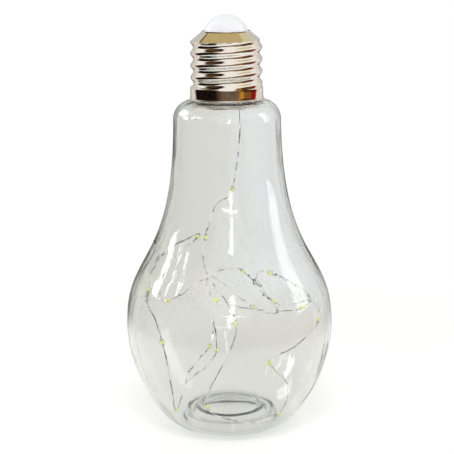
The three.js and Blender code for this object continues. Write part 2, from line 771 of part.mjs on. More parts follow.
function stringOfLights() {
  const curve = wireCurve();
  const length = curve.getLength();
  const outletLength = boardBottom - SEAT - grommetBottom + OUTLET_RUN;
  const lights = Array.from({ length: LED_COUNT }, (_, i) => LED_FIRST + i * LED_PITCH);
  const stops = [0, ...spread(outletLength, LED_FIRST - LED_RUN, LEAD_STEPS)];
  lights.forEach((light, i) => {
    const end = i + 1 < LED_COUNT ? lights[i + 1] - LED_RUN : length;
    stops.push(...spread(light + LED_RUN, end, SPAN_STEPS));
  });
  const wire = new THREE.ExtrudeGeometry(roundSection(WIRE_RADIUS, WIRE_SIDES), {
    steps: stops.length - 1,
    extrudePath: new SteppedCurve(curve, stops),
  });
  addPiece('string_wire', wire, materials.wire);
  lights.forEach((light, i) => {
    const before = curve.getPointAt((light - LED_RUN) / length);
    const after = curve.getPointAt((light + LED_RUN) / length);
    const bead = addPiece(`led_${String(i + 1).padStart(2, '0')}`, lightBead(), materials.resin);
    bead.position.copy(before).add(after).multiplyScalar(0.5);
    bead.quaternion.setFromUnitVectors(new THREE.Vector3(0, 0, 1), after.sub(before).normalize());
  });
}

// A drop of resin, bored for the wire.
function lightBead() {
  const bore = WIRE_RADIUS + SEAT;
  const end = Math.asin(bore / LED_RADIUS);
  const outline = spread(-Math.PI / 2 + end, Math.PI / 2 - end, ARC_STEPS).map(
    (angle) => new THREE.Vector2(LED_RADIUS * Math.cos(angle), LED_HALF_LENGTH * Math.sin(angle)),
  );
  outline.push(outline[0].clone());
  return revolve(outline, TINY_SIDES);
}

glassBulb();
capShell();
capLiner();
sealRing();
batteryHolder();
batteryCells();
contactPlate();
contactSpring();
batteryCover();
screws();
wireGrommet();
circuitBoard();
pushSwitch();
pushButton();
stringOfLights();

export default lamp;
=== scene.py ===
# %% [markdown]
# # A bulb-shaped table lamp
# A clear glass bulb stands on a hollow base. A plated cap with a rounded thread screws onto its neck,
# and the white dome on top is the switch. A string of small lights hangs from the cap inside the glass.
# The CAD model gives every size, so the first step loads it and keeps its box.

# %% Load the frame
import math

import bmesh
import bpy
from mathutils import Matrix, Quaternion, Vector
from mathutils.geometry import interpolate_bezier


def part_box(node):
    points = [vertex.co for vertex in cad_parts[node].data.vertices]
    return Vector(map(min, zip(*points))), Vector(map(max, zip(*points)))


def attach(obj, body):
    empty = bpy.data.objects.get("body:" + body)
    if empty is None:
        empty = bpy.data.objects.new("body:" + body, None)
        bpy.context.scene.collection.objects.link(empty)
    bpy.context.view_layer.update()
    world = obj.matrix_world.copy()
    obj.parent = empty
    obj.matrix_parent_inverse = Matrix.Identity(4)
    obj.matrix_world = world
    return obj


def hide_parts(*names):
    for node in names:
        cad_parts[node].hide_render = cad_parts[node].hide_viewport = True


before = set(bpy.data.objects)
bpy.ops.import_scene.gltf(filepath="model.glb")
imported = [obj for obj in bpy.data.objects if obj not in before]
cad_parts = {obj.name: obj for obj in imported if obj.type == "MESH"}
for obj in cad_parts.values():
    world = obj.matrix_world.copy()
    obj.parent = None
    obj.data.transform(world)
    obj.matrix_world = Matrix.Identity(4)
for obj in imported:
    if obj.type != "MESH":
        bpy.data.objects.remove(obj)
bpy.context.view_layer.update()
MM = 0.001

# %% [markdown]
# ## Camera
# The lamp was seen from a little above, from about 0.7 m. The picture's focal length in pixels becomes a
# lens for Blender's sensor. The lamp leans by a fraction of a degree, so the camera rolls by that much.

# %% Camera
IMAGE_PX = 454
EYE = Vector((0, -0.700, 0.2627))
AIM = Vector((0, 0, 0.10686))
FOCAL_PX = 1352.5
AXIS_PX = 228.26
SENSOR_MM = 36
LEAN = math.radians(0.66)
NEAR_LIMIT = 10 * MM

scene = bpy.context.scene
camera = bpy.data.objects.new("camera", bpy.data.cameras.new("camera"))
scene.collection.objects.link(camera)
camera.data.sensor_width = SENSOR_MM
camera.data.lens = FOCAL_PX / IMAGE_PX * SENSOR_MM
camera.data.shift_x = (IMAGE_PX / 2 - AXIS_PX) / IMAGE_PX
camera.data.clip_start = NEAR_LIMIT
camera.location = EYE
look = (AIM - EYE).to_track_quat("-Z", "Y")
camera.rotation_euler = (look @ Quaternion((0, 0, 1), -LEAN)).to_euler()
scene.camera = camera
print("lens in mm:", round(camera.data.lens, 1))

# %% [markdown]
# ## Pieces and profiles
# Each finished mesh becomes an object at the origin that rides on a CAD body and stands for its CAD
# nodes. Round pieces are turned: a few points of an outline are spun about the upright axis, as on a
# lathe. A spin leaves double points on the axis and may turn faces inwards, so both are put right.


# %% Pieces and profiles
def add_piece(name, mesh, body, slot, *nodes):
    """A new object for a mesh, on its CAD body and in place of its CAD nodes."""
    piece = bpy.data.objects.new(name, mesh)
    scene.collection.objects.link(piece)
    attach(piece, body)
    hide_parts(*nodes)
    return piece


def to_mesh(bm, name, *materials, sharp=35):
    """A smooth mesh whose edges stay sharp where they turn by more than that angle in degrees."""
    mesh = bpy.data.meshes.new(name)
    bm.to_mesh(mesh)
    bm.free()
    for material in materials:
        mesh.materials.append(material)
    mesh.shade_smooth()
    mesh.set_sharp_from_angle(angle=math.radians(sharp))
    return mesh


DOUBLE_GAP = 0.002 * MM


def turned(outline, sides, closed=False):
    """A bmesh of an outline of radius and height in mm, spun about the Z axis."""
    bm = bmesh.new()
    points = [bm.verts.new((radius * MM, 0, height * MM)) for radius, height in outline]
    edges = [bm.edges.new(pair) for pair in zip(points, points[1:])]
    if closed:
        edges.append(bm.edges.new((points[-1], points[0])))
    bmesh.ops.spin(bm, geom=points + edges, cent=(0, 0, 0), axis=(0, 0, 1),
                   angle=2 * math.pi, steps=sides, use_merge=True)
    bmesh.ops.remove_doubles(bm, verts=bm.verts, dist=DOUBLE_GAP)
    bmesh.ops.recalc_face_normals(bm, faces=bm.faces)
    return bm


def arc(centre, radius, start, end, steps):
    """Points of a circle in a profile, from one angle to another in degrees."""
    angles = [math.radians(start + (end - start) * i / steps) for i in range(steps + 1)]
    return [(centre[0] + radius * math.cos(a), centre[1] + radius * math.sin(a)) for a in angles]


# %% [markdown]
# ## Nodes and colours
# One function turns a hex colour, as it is read off a screen, into the linear numbers that shaders use.
# Another adds a node with its settings, and links or sets its inputs. A Mix node has sockets for numbers,
# vectors and colours under the same names, so those for colours are given by their places.

# %% Nodes and colours
MIX_SHARE, MIX_BELOW, MIX_OVER, MIXED = 0, 6, 7, 2


def linear(code):
    """Red, green, blue and alpha in linear light."""
    parts = [int(code[i:i + 2], 16) / 255 for i in (1, 3, 5)]
    parts = [c / 12.92 if c <= 0.04045 else ((c + 0.055) / 1.055) ** 2.4 for c in parts]
    return (*parts, 1)


def add_node(tree, kind, inputs=None, **settings):
    """A new node with its settings, and its inputs linked to sockets or set to values."""
    node = tree.nodes.new(kind)
    for name, value in settings.items():
        setattr(node, name, value)
    for name, value in (inputs or {}).items():
        if isinstance(value, bpy.types.NodeSocket):
            tree.links.new(value, node.inputs[name])
        else:
            node.inputs[name].default_value = value
    return node


def new_material(name):
    """A material, with its node tree and the shader that it starts with."""
    material = bpy.data.materials.new(name)
    material.use_nodes = True
    return material, material.node_tree, material.node_tree.nodes["Principled BSDF"]


def per_mm(size):
    """A noise texture's scale for features of this size in mm."""
    return 1 / (size * MM)


print("half white on a screen is", round(linear("#808080")[0], 3), "in linear light")


# %% [markdown]
# ## The wire of the light string
# The string's wire is two silvered copper strands, twisted loosely and stiff enough to hold their
# bends. The wire leaves the cap through a grommet and lies in loops in the glass. A Bezier curve follows
# the CAD route: its handles are those of a smooth curve through the points, and its points are tilted to
# twist the pair.

# %% Route of the wire
WIRE_DIAMETER = 0.6 * MM
STRAND_SIDES = 8
TWIST_PITCH = 9 * MM
ROUTE_STEPS = 40
WIRE_ROUTE = [Vector(p) for p in (
    (0.006305, -0.002547, 0.2002), (0.006305, -0.002547, 0.1768),
    (0.0065, -0.009, 0.1597), (0.002, -0.0255, 0.1317), (-0.0065, 0.003, 0.1177),
    (-0.012, -0.005, 0.1022), (-0.0125, -0.018, 0.0892), (0.0035, -0.0315, 0.0622),
    (-0.012, -0.0215, 0.0137), (0.013, -0.026, 0.0072), (0.0294, -0.0005, 0.0052),
    (0.032, 0.0025, 0.0162), (0.021, -0.022, 0.0397), (0.0335, -0.0335, 0.0512),
    (0.0475, -0.007, 0.0587), (0.043, 0.016, 0.0657), (0.02, 0.0125, 0.0792),
    (0.0165, 0.0425, 0.0617), (0.028, 0.0355, 0.0542), (0.0445, 0.0015, 0.0662),
    (0.036, -0.0065, 0.0627), (-0.009, 0.017, 0.0632), (-0.011, 0.0305, 0.0722),
    (0.018, 0.0335, 0.0507), (0.027, 0.0205, 0.0542), (0.004, 0.016, 0.0802),
    (-0.0345, -0.017, 0.0712), (-0.0315, -0.022, 0.0902), (-0.015, 0, 0.1032),
    (-0.0385, 0.009, 0.0877), (-0.044, 0.003, 0.0687), (-0.037, -0.033, 0.0647),
    (-0.033, -0.0355, 0.0502), (-0.03, -0.034, 0.0312), (-0.0285, -0.01, 0.0097),
    (-0.023, 0.0015, 0.0247), (-0.009, -0.013, 0.0487), (-0.0095, 0.0015, 0.0587),
    (-0.0085, 0.017, 0.0297), (-0.0265, 0.0055, 0.0167),
)]


def spans_of(route):
    """Knots and handles of each span of a centripetal curve through the route."""
    ends = [2 * route[0] - route[1], *route, 2 * route[-1] - route[-2]]
    gaps = [math.sqrt((b - a).length) for a, b in zip(ends, ends[1:])]
    spans = []
    for i in range(len(route) - 1):
        p0, p1, p2, p3 = ends[i:i + 4]
        d0, d1, d2 = gaps[i:i + 3]
        leave = ((p1 - p0) / d0 - (p2 - p0) / (d0 + d1) + (p2 - p1) / d1) * d1
        arrive = ((p2 - p1) / d1 - (p3 - p1) / (d1 + d2) + (p3 - p2) / d2) * d1
        spans.append((p1, p1 + leave / 3, p2 - arrive / 3, p2))
    return spans


wire_spans = spans_of(WIRE_ROUTE)
wire_path = [wire_spans[0][0]]
span_ends = [0]
for span in wire_spans:
    wire_path += interpolate_bezier(*span, ROUTE_STEPS + 1)[1:]
    span_ends.append(len(wire_path) - 1)
wire_reach = [0.0]
for a, b in zip(wire_path, wire_path[1:]):
    wire_reach.append(wire_reach[-1] + (b - a).length)
print("wire in m:", round(wire_reach[-1], 4), "points:", len(WIRE_ROUTE))

# %% [markdown]
# The pair's section is two small circles side by side. Blender sweeps it along the curve as a bevel
# object, and the result is kept as a mesh, so the helper curves can go.


# %% Wire
def twin_section():
    """The section of the pair, as a flat curve of two circles."""
    section = bpy.data.curves.new("strand_section", "CURVE")
    strand = WIRE_DIAMETER / 4
    for side in (-1, 1):
        spline = section.splines.new("POLY")
        spline.points.add(STRAND_SIDES - 1)
        spline.use_cyclic_u = True
        for i, point in enumerate(spline.points):
            angle = 2 * math.pi * i / STRAND_SIDES
            point.co = (side * strand + strand * math.cos(angle), strand * math.sin(angle), 0, 1)
    return bpy.data.objects.new("strand_section", section)


def twisted_pair(name):
    """A mesh of the section swept along the route, with a steady twist."""
    curve = bpy.data.curves.new(name, "CURVE")
    curve.dimensions = "3D"
    curve.resolution_u = ROUTE_STEPS
    section = twin_section()
    scene.collection.objects.link(section)
    curve.bevel_mode = "OBJECT"
    curve.bevel_object = section
    curve.use_fill_caps = True
    spline = curve.splines.new("BEZIER")
    spline.bezier_points.add(len(WIRE_ROUTE) - 1)
    spline.tilt_interpolation = "LINEAR"
    for i, knot in enumerate(spline.bezier_points):
        knot.handle_left_type = knot.handle_right_type = "FREE"
        knot.co = WIRE_ROUTE[i]
        knot.handle_left = wire_spans[i - 1][2] if i else 2 * WIRE_ROUTE[0] - wire_spans[0][1]
        knot.handle_right = wire_spans[i][1] if i < len(wire_spans) else 2 * knot.co - knot.handle_left
        knot.tilt = 2 * math.pi * wire_reach[span_ends[i]] / TWIST_PITCH
    helper = bpy.data.objects.new(name, curve)
    scene.collection.objects.link(helper)
    bpy.context.view_layer.update()
    depsgraph = bpy.context.evaluated_depsgraph_get()
    mesh = bpy.data.meshes.new_from_object(helper.evaluated_get(depsgraph))
    mesh.name = name
    bpy.data.objects.remove(helper)
    bpy.data.objects.remove(section)
    mesh.shade_smooth()
    return mesh


wire_mesh = twisted_pair("light_string_wire")
wire = add_piece("light_string_wire", wire_mesh, "cap", "silver_wire", "string_wire")
print("wire faces:", len(wire_mesh.polygons))

# %% [markdown]
# Silvered copper wire is bright but not a mirror: the enamel over it scatters about half of the light, and
# the wire turns in and out of the light, so it looks dark grey in one place and white in the next. That is
# painted here: a noise of a few millimetres mixes a dark grey and a white in its colour as painted shade and
# painted glints, and a finer one varies the roughness.

# %% Silvered copper
ENAMEL_MARKS, GLINT_LENGTH = 1.5, 5
silvered, tree, shader = new_material("silvered_copper_wire")
place = add_node(tree, "ShaderNodeTexCoord")
drawn = add_node(tree, "ShaderNodeTexNoise", {
    "Vector": place.outputs["Object"], "Scale": per_mm(ENAMEL_MARKS), "Detail": 3.0})
shine = add_node(tree, "ShaderNodeMapRange", {
    "Value": drawn.outputs["Fac"], "To Min": 0.35, "To Max": 0.55})
tree.links.new(shine.outputs["Result"], shader.inputs["Roughness"])
glints = add_node(tree, "ShaderNodeTexNoise", {
    "Vector": place.outputs["Object"], "Scale": per_mm(GLINT_LENGTH), "Detail": 1.0})
glint_share = add_node(tree, "ShaderNodeMapRange", {
    "Value": glints.outputs["Fac"], "From Min": 0.44, "From Max": 0.55})
# Painted shade and painted glints: the wire's colour runs from dark grey to white by the noise.
painted_glint_colour = add_node(tree, "ShaderNodeMix", {
    MIX_SHARE: glint_share.outputs["Result"], MIX_BELOW: linear("#85827D"), MIX_OVER: linear("#FFFDF8")},
    data_type="RGBA")
tree.links.new(painted_glint_colour.outputs[MIXED], shader.inputs["Base Color"])
shader.inputs["Metallic"].default_value = 0.55
wire_mesh.materials.append(silvered)
print("finish:", silvered.name)

# %% [markdown]
# ## Lights
# Each light is a tiny chip under yellow phosphor, soldered between the strands and sealed in a drop of
# clear resin. The drop is turned as a lens with tails that run out along the wire, and the chip is a
# bevelled box inside it. Both are laid along the wire. The phosphor is given a faint painted glow of its
# own colour, which keeps its yellow-green clear inside two skins of glass. Its grains are drawn coarser
# than real ones, which would not show.

# %% Clear resin and phosphor
RESIN_WAVES, PHOSPHOR_GRAINS = 0.9, 0.25
resin, tree, shader = new_material("epoxy_resin_drop")
place = add_node(tree, "ShaderNodeTexCoord")
cloud = add_node(tree, "ShaderNodeTexNoise", {
    "Vector": place.outputs["Object"], "Scale": per_mm(RESIN_WAVES), "Detail": 2.0})
skin = add_node(tree, "ShaderNodeBump", {
    "Height": cloud.outputs["Fac"], "Strength": 0.15, "Distance": 0.1 * MM})
tree.links.new(skin.outputs["Normal"], shader.inputs["Normal"])
shader.inputs["Base Color"].default_value = linear("#FCFDEE")
shader.inputs["Roughness"].default_value = 0.06
shader.inputs["IOR"].default_value = 1.5
shader.inputs["Transmission Weight"].default_value = 0.75

phosphor, tree, shader = new_material("yellow_phosphor_painted_glow")
place = add_node(tree, "ShaderNodeTexCoord")
grains = add_node(tree, "ShaderNodeTexNoise", {
    "Vector": place.outputs["Object"], "Scale": per_mm(PHOSPHOR_GRAINS), "Detail": 4.0})
tint = add_node(tree, "ShaderNodeMix", {
    MIX_SHARE: grains.outputs["Fac"], MIX_BELOW: linear("#EAF04A"), MIX_OVER: linear("#FAFF92")},
    data_type="RGBA")
tree.links.new(tint.outputs[MIXED], shader.inputs["Base Color"])
# Painted glow: the phosphor's own colours also feed its emission.
tree.links.new(tint.outputs[MIXED], shader.inputs["Emission Color"])
shader.inputs["Emission Strength"].default_value = 0.45
shader.inputs["Roughness"].default_value = 0.6
print("finishes:", resin.name, phosphor.name)

# %% Drops and chips
LED_COUNT = 20
LED_FIRST = 75 * MM
LED_PITCH = 52.8 * MM
LED_RUN = 2.2 * MM
DROP_RADIUS, TAIL_RADIUS, DROP_LENGTH = 1.25, 0.34, 2.1
TAPER = 1.4
DROP_STEPS = 14
DROP_SIDES = 20
CHIP = Vector((1.0, 0.8, 1.5)) * MM
CHIP_BEVEL = 0.15 * MM


def along_wire(reach):
    """The point of the wire at a length from its start."""
    i = next(k for k in range(1, len(wire_reach)) if wire_reach[k] >= reach)
    share = (reach - wire_reach[i - 1]) / (wire_reach[i] - wire_reach[i - 1])
    return wire_path[i - 1].lerp(wire_path[i], share)


def resin_drop():
    """A bmesh of a drop about the Z axis, thickest in its middle, with a thin tail at each end."""
    outline = [(0, -DROP_LENGTH)]
    for i in range(DROP_STEPS + 1):
        angle = math.pi * (i / DROP_STEPS - 0.5)
        bulge = math.cos(angle) ** TAPER
        outline.append((TAIL_RADIUS + (DROP_RADIUS - TAIL_RADIUS) * bulge, DROP_LENGTH * math.sin(angle)))
    outline.append((0, DROP_LENGTH))
    return turned(outline, DROP_SIDES)


def light_mesh(name, turn, centre):
    """A drop with its chip, turned along the wire and moved to its place."""
    bm = resin_drop()
    chip = bmesh.ops.create_cube(bm, size=1, matrix=Matrix.Diagonal(CHIP).to_4x4())["verts"]
    faces = {face for vert in chip for face in vert.link_faces}
    for face in faces:
        face.material_index = 1
    edges = list({edge for vert in chip for edge in vert.link_edges})
    bmesh.ops.bevel(bm, geom=edges, affect="EDGES", offset=CHIP_BEVEL, segments=2, profile=0.5, material=-1)
    bmesh.ops.transform(bm, matrix=Matrix.Translation(centre) @ turn, verts=bm.verts)
    return to_mesh(bm, name, resin, phosphor)


for i in range(LED_COUNT):
    node = f"led_{i + 1:02d}"
    low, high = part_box(node)
    middle = LED_FIRST + i * LED_PITCH
    axis = along_wire(middle + LED_RUN) - along_wire(middle - LED_RUN)
    turn = Vector((0, 0, 1)).rotation_difference(axis).to_matrix().to_4x4()
    mesh = light_mesh(f"light_{i + 1:02d}", turn, (low + high) / 2)
    add_piece(mesh.name, mesh, "cap", "light_resin", node)

# %% [markdown]
# ## Glass bulb
# The bulb is blown glass with an even wall, a hollow pushed up under its base and a threaded ring at its
# neck. Its outside is two smooth curves and a round shoulder, and its inside is the same line moved in
# by the wall. The whole section is one outline in mm, so one spin gives a closed wall with both skins.

# %% Glass profile
BULB_RADIUS, WIDEST = 55, 54.9
STANDING_RADIUS, STANDING_WIDTH = 26.2, 2.5
HEEL_REACH, LOWER_REACH = 11, 25
UPPER_REACH, NECK_REACH, NECK_LEAN = 40, 78, 0.8
NECK_RADIUS, SHOULDER_ARC, SHOULDER = 28.1, 10, 174.7
PUSH_UP, PUSH_UP_TAPER, FLOOR_WALL, GLASS_WALL = 5.8, 1.9, 1.8, 2
BEAD_INSET, BEAD_HEIGHT, BEAD_FOOT, BEAD_CREST = 7, 1.2, 3.2, 1.6
FLOOR_ROUND, FOOT_ROUND, HOLLOW_ROUND = 0.8, 0.9, 4.5
FINISH_RADIUS, NECK_BORE, FINISH_FILLET, LIP, LIP_ROUND = 12.3, 9.7, 1.2, 186.7, 0.8
GLASS_SIDES = 144
CURVE_STEPS, SHOULDER_STEPS, CORNER_STEPS = 48, 14, 5


def bezier(*corners, steps=CURVE_STEPS):
    """Points of a smooth curve from the first of four corners to the last."""
    return [tuple(p) for p in interpolate_bezier(*[Vector(c) for c in corners], steps + 1)]


def quadratic(start, pull, end, steps):
    """Points of a curve that one point between its ends pulls to itself."""
    start, pull, end = Vector(start), Vector(pull), Vector(end)
    return bezier(start, start.lerp(pull, 2 / 3), end.lerp(pull, 2 / 3), end, steps=steps)


def rounded(corners, reaches):
    """The corners joined by straight lines, with a small curve at each one between the ends."""
    points = [corners[0]]
    for before, corner, after, reach in zip(corners, corners[1:], corners[2:], reaches):
        before, corner, after = Vector(before), Vector(corner), Vector(after)
        start = corner + (before - corner).normalized() * reach
        end = corner + (after - corner).normalized() * reach
        points += quadratic(start, corner, end, CORNER_STEPS)
    return points + [corners[-1]]


def moved_in(outline, wall):
    """The outline moved to its left by the wall, which is inwards on a line that goes up."""
    points = [Vector(p) for p in outline]
    moved = []
    for i, point in enumerate(points):
        along = (points[min(i + 1, len(points) - 1)] - points[max(i - 1, 0)]).normalized()
        moved.append((point.x - along.y * wall, point.y + along.x * wall))
    return moved


neck_top = SHOULDER - SHOULDER_ARC
outside = bezier((STANDING_RADIUS, 0), (STANDING_RADIUS + HEEL_REACH, 0),
                 (BULB_RADIUS, WIDEST - LOWER_REACH), (BULB_RADIUS, WIDEST))
outside += bezier((BULB_RADIUS, WIDEST), (BULB_RADIUS, WIDEST + UPPER_REACH),
                  (NECK_RADIUS + NECK_LEAN, neck_top - NECK_REACH), (NECK_RADIUS, neck_top))[1:]
outside += arc((NECK_RADIUS - SHOULDER_ARC, neck_top), SHOULDER_ARC, 0, 90, SHOULDER_STEPS)[1:]
ring = arc((FINISH_RADIUS + FINISH_FILLET, SHOULDER + FINISH_FILLET), FINISH_FILLET, 270, 180, CORNER_STEPS)
ring += arc((FINISH_RADIUS - LIP_ROUND, LIP - LIP_ROUND), LIP_ROUND, 0, 90, CORNER_STEPS)
ring += arc((NECK_BORE + LIP_ROUND, LIP - LIP_ROUND), LIP_ROUND, 90, 180, CORNER_STEPS)
ring += [(NECK_BORE, SHOULDER - GLASS_WALL)]
inside = moved_in(outside, GLASS_WALL)[::-1]
hollow_edge = STANDING_RADIUS - STANDING_WIDTH
hollow_top = hollow_edge - PUSH_UP_TAPER
hollow = [(0, PUSH_UP), (hollow_top, PUSH_UP), (hollow_edge, 0), (STANDING_RADIUS, 0)]
floor_top = PUSH_UP + FLOOR_WALL
floor_edge = hollow_top + FLOOR_WALL
bead = floor_edge - BEAD_INSET
glass_floor = [inside[-1], (floor_edge, floor_top), (bead + BEAD_FOOT / 2, floor_top),
               (bead + BEAD_CREST / 2, floor_top + BEAD_HEIGHT),
               (bead - BEAD_CREST / 2, floor_top + BEAD_HEIGHT), (bead - BEAD_FOOT / 2, floor_top),
               (0, floor_top)]
glass_outline = rounded(hollow, [HOLLOW_ROUND, FOOT_ROUND])[:-1] + outside + ring + inside[:-1]
glass_outline += rounded(glass_floor, [FLOOR_ROUND] * 5)
print("glass profile points:", len(glass_outline))

# %% [markdown]
# The ring's thread is a small ridge spun up the neck: a spin that also climbs a little at each step
# makes a helix. It ends under the cap, and shows only when the cap is turned up.

# %% Glass bulb mesh
NECK_PITCH, NECK_TURNS, THREAD_RISE = 4.2, 1.25, 3.6
RIDGE_RADIUS, RIDGE_FOOT, RIDGE_CREST, RIDGE_SUNK = 13.4, 1.7, 0.8, 0.3
RIDGE_STEPS = 120


def neck_thread(bm):
    """Adds the ridge to the glass, sunk a little into the ring."""
    middle = SHOULDER + THREAD_RISE
    sunk = FINISH_RADIUS - RIDGE_SUNK
    section = [(sunk, -RIDGE_FOOT / 2), (RIDGE_RADIUS, -RIDGE_CREST / 2),
               (RIDGE_RADIUS, RIDGE_CREST / 2), (sunk, RIDGE_FOOT / 2)]
    corners = [bm.verts.new((r * MM, 0, (middle + z) * MM)) for r, z in section]
    first = bm.faces.new(corners)
    climb = NECK_TURNS * NECK_PITCH * MM / RIDGE_STEPS
    bmesh.ops.spin(bm, geom=[*corners, *first.edges, first], cent=(0, 0, 0), axis=(0, 0, 1),
                   dvec=(0, 0, climb), angle=2 * math.pi * NECK_TURNS, steps=RIDGE_STEPS)


bm = turned(glass_outline, GLASS_SIDES)
neck_thread(bm)
bmesh.ops.recalc_face_normals(bm, faces=bm.faces)
glass_mesh = to_mesh(bm, "blown_glass_bulb", sharp=60)
add_piece("blown_glass_bulb", glass_mesh, "glass", "clear_glass", "glass_bulb")
print("glass faces:", len(glass_mesh.polygons))

# %% [markdown]
# Soda-lime glass is nearly clear, with a grey-green cast where one looks along the wall. Blowing leaves
# slow waves in its skin and fine streaks down it, which bend and fray the reflections of lamps. Two noises
# drive slight bumps: a coarse even one, and a fine one that is stretched upright and stops above the base.
# Lamps shine through the glass with a shadow that is darkest at its edges.

# %% Blown glass
WAVE_LENGTH, STREAK_WIDTH, STREAK_LENGTH = 26, 5, 40
STREAKS_START, STREAKS_FULL = 15 * MM, 50 * MM
glass_finish, tree, shader = new_material("soda_lime_glass")
place = add_node(tree, "ShaderNodeTexCoord")
waves = add_node(tree, "ShaderNodeTexNoise", {
    "Vector": place.outputs["Object"], "Scale": per_mm(WAVE_LENGTH), "Detail": 1.5, "Roughness": 0.4})
ripple = add_node(tree, "ShaderNodeBump", {
    "Height": waves.outputs["Fac"], "Strength": 0.25, "Distance": 2.0 * MM})
upright = add_node(tree, "ShaderNodeMapping", {
    "Vector": place.outputs["Object"],
    "Scale": (per_mm(STREAK_WIDTH), per_mm(STREAK_WIDTH), per_mm(STREAK_LENGTH))})
streaks = add_node(tree, "ShaderNodeTexNoise", {
    "Vector": upright.outputs["Vector"], "Scale": 1.0, "Detail": 2.0})
height = add_node(tree, "ShaderNodeSeparateXYZ", {0: place.outputs["Object"]})
drawn_out = add_node(tree, "ShaderNodeMapRange", {
    "Value": height.outputs["Z"], "From Min": STREAKS_START, "From Max": STREAKS_FULL, "To Max": 0.3})
fray = add_node(tree, "ShaderNodeBump", {
    "Height": streaks.outputs["Fac"], "Normal": ripple.outputs["Normal"],
    "Strength": drawn_out.outputs["Result"], "Distance": 0.45 * MM})
tree.links.new(fray.outputs["Normal"], shader.inputs["Normal"])
shader.inputs["Base Color"].default_value = linear("#F1F1EF")
shader.inputs["Roughness"].default_value = 0.0
shader.inputs["IOR"].default_value = 1.5
shader.inputs["Transmission Weight"].default_value = 1.0
edge = add_node(tree, "ShaderNodeLayerWeight", {"Blend": 0.35})
shade = add_node(tree, "ShaderNodeMix", {
    MIX_SHARE: edge.outputs["Facing"], MIX_BELOW: linear("#FBFBFB"), MIX_OVER: linear("#C4C7C5")},
    data_type="RGBA")
clear = add_node(tree, "ShaderNodeBsdfTransparent", {"Color": shade.outputs[MIXED]})
ray = add_node(tree, "ShaderNodeLightPath")
mixed = add_node(tree, "ShaderNodeMixShader", {
    0: ray.outputs["Is Shadow Ray"], 1: shader.outputs["BSDF"], 2: clear.outputs["BSDF"]})
tree.links.new(mixed.outputs["Shader"], tree.nodes["Material Output"].inputs["Surface"])
tint = add_node(tree, "ShaderNodeVolumeAbsorption", {"Color": linear("#A9B5AC"), "Density": 22.0})
tree.links.new(tint.outputs["Volume"], tree.nodes["Material Output"].inputs["Volume"])
glass_mesh.materials.append(glass_finish)
print("finish:", glass_finish.name)

# %% [markdown]
# ## Cap
# The cap is pressed from sheet metal and rolled: a plain band with a rim, a thread of round crests and a
# cone up to the button. A thread can't be turned on a lathe, so a plain sleeve is spun first. Each point
# of its outside then moves in or out by where it lies on the helix, up to the cone that cuts it off.

# %% Cap profile
CAP_BOTTOM, BAND_TOP, CONE_BOTTOM, CONE_TOP = 175.1, 181.1, 204.9, 210.3
SHELL_BORE, UPPER_BORE, OPENING = 15.8, 14.9, 11.55
ROOT_RADIUS, CREST_RADIUS, BAND_RADIUS, RIM_RADIUS, CONE_TOP_RADIUS = 17.1, 18.6, 18.85, 19.2, 12.05
RIM_HEIGHT, SHELL_STEP, CONE_DROP, EDGE_HEIGHT, EDGE_ROUND = 1.0, 192.5, 1.5, 0.5, 0.12
KNUCKLE_PITCH, KNUCKLE_START, BAND_FADE = 6.2, 2, 1.2
LIP_CHAMFER, RIM_GROOVE, RIM_REACH = 0.1, 0.15, 80
CONE_ROWS = (2.6, 1.1, EDGE_HEIGHT)
CAP_SIDES = 192
ROW_HEIGHT = 0.2
RIM_STEPS = 10


def cone_radius(height):
    """The outside of the cone at a height."""
    down = (CONE_TOP - height) / (CONE_TOP - CONE_BOTTOM)
    return CONE_TOP_RADIUS + (CREST_RADIUS - CONE_TOP_RADIUS) * down


def knuckle_radius(height, angle):
    """The thread's outside at a height and an angle, run out into the band and cut off by the cone."""
    phase = 2 * math.pi * (height - CAP_BOTTOM - KNUCKLE_START) / KNUCKLE_PITCH - angle
    wave = ROOT_RADIUS + (CREST_RADIUS - ROOT_RADIUS) / 2 * (1 + math.cos(phase))
    fade = min(max((height - BAND_TOP) / BAND_FADE, 0), 1)
    fade = fade * fade * (3 - 2 * fade)
    return min(BAND_RADIUS + (wave - BAND_RADIUS) * fade, cone_radius(height))


slope = (CONE_TOP - CONE_BOTTOM) / (CREST_RADIUS - CONE_TOP_RADIUS)
thread_top = CONE_BOTTOM + (CREST_RADIUS - ROOT_RADIUS) * slope
rows = round((thread_top - BAND_TOP) / ROW_HEIGHT)
rim_round = RIM_HEIGHT / 2
rim_centre = (RIM_RADIUS - rim_round, CAP_BOTTOM + rim_round)
cap_outline = [(SHELL_BORE, CAP_BOTTOM + LIP_CHAMFER), (SHELL_BORE + LIP_CHAMFER, CAP_BOTTOM),
               (BAND_RADIUS - LIP_CHAMFER, CAP_BOTTOM)]
cap_outline += arc(rim_centre, rim_round, -RIM_REACH, RIM_REACH, RIM_STEPS)
cap_outline += [(BAND_RADIUS, CAP_BOTTOM + RIM_HEIGHT + RIM_GROOVE), (BAND_RADIUS, BAND_TOP)]
cap_outline += [(CREST_RADIUS, BAND_TOP + (thread_top - BAND_TOP) * i / rows) for i in range(1, rows + 1)]
cap_outline += [(cone_radius(CONE_TOP - down), CONE_TOP - down) for down in CONE_ROWS]
edge_radius = cone_radius(CONE_TOP - EDGE_HEIGHT)
cap_outline += arc((edge_radius - EDGE_ROUND, CONE_TOP - EDGE_ROUND), EDGE_ROUND, 0, 90, CORNER_STEPS)
cap_outline += arc((OPENING + EDGE_ROUND, CONE_TOP - EDGE_ROUND), EDGE_ROUND, 90, 180, CORNER_STEPS)
inner_cone = CONE_TOP - CONE_DROP
cap_outline += [(OPENING, inner_cone), (UPPER_BORE, inner_cone - (UPPER_BORE - OPENING) * slope),
                (UPPER_BORE, SHELL_STEP), (SHELL_BORE, SHELL_STEP)]
print("cap profile points:", len(cap_outline), "thread rows:", rows)

